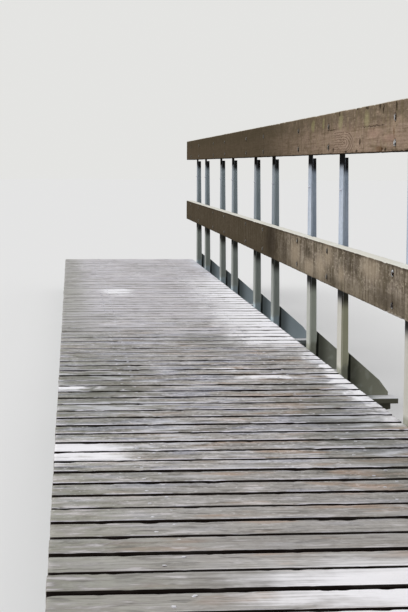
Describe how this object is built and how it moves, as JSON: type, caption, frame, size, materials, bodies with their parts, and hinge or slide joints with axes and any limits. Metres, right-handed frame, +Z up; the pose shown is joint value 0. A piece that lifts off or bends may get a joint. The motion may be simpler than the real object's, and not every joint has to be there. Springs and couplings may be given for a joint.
{
  "type": "wooden footbridge",
  "caption": "Narrow footbridge: crosswise board deck on steel girders, with a two-rail timber railing on galvanised posts along one side.",
  "frame": {"origin": "middle of the bridge's footprint, at the underside of the girders", "axes": "+Y along the bridge, away from the picture's viewer; +X across it, towards the railing; +Z up"},
  "size_m": [1.212, 10.416, 1.156],
  "materials": {
    "deck_timber": "weathered grey boards, slightly wet",
    "rail_timber": "weathered brown timber",
    "galvanised_steel": "dull hot-dip galvanised"
  },
  "bodies": {
    "root": {"girder_left": "galvanised_steel", "girder_right": "galvanised_steel", "cross_member_1": "galvanised_steel", "cross_member_2": "galvanised_steel", "cross_member_3": "galvanised_steel", "cross_member_4": "galvanised_steel", "cross_member_5": "galvanised_steel", "cross_member_6": "galvanised_steel", "cross_member_7": "galvanised_steel", "deck_bay_1": "deck_timber", "deck_bay_2": "deck_timber", "deck_bay_3": "deck_timber", "deck_bay_4": "deck_timber", "deck_bay_5": "deck_timber", "deck_bay_6": "deck_timber", "post_1": "galvanised_steel", "outrigger_1": "galvanised_steel", "post_2": "galvanised_steel", "outrigger_2": "galvanised_steel", "post_3": "galvanised_steel", "outrigger_3": "galvanised_steel", "post_4": "galvanised_steel", "outrigger_4": "galvanised_steel", "post_5": "galvanised_steel", "outrigger_5": "galvanised_steel", "post_6": "galvanised_steel", "outrigger_6": "galvanised_steel", "post_7": "galvanised_steel", "outrigger_7": "galvanised_steel", "post_8": "galvanised_steel", "outrigger_8": "galvanised_steel", "post_9": "galvanised_steel", "outrigger_9": "galvanised_steel", "post_10": "galvanised_steel", "outrigger_10": "galvanised_steel", "post_11": "galvanised_steel", "outrigger_11": "galvanised_steel", "post_12": "galvanised_steel", "outrigger_12": "galvanised_steel", "post_gussets": "galvanised_steel", "lower_rail_near": "rail_timber", "lower_rail_far": "rail_timber", "upper_rail_near": "rail_timber", "upper_rail_far": "rail_timber"}
  },
  "joints": []
}
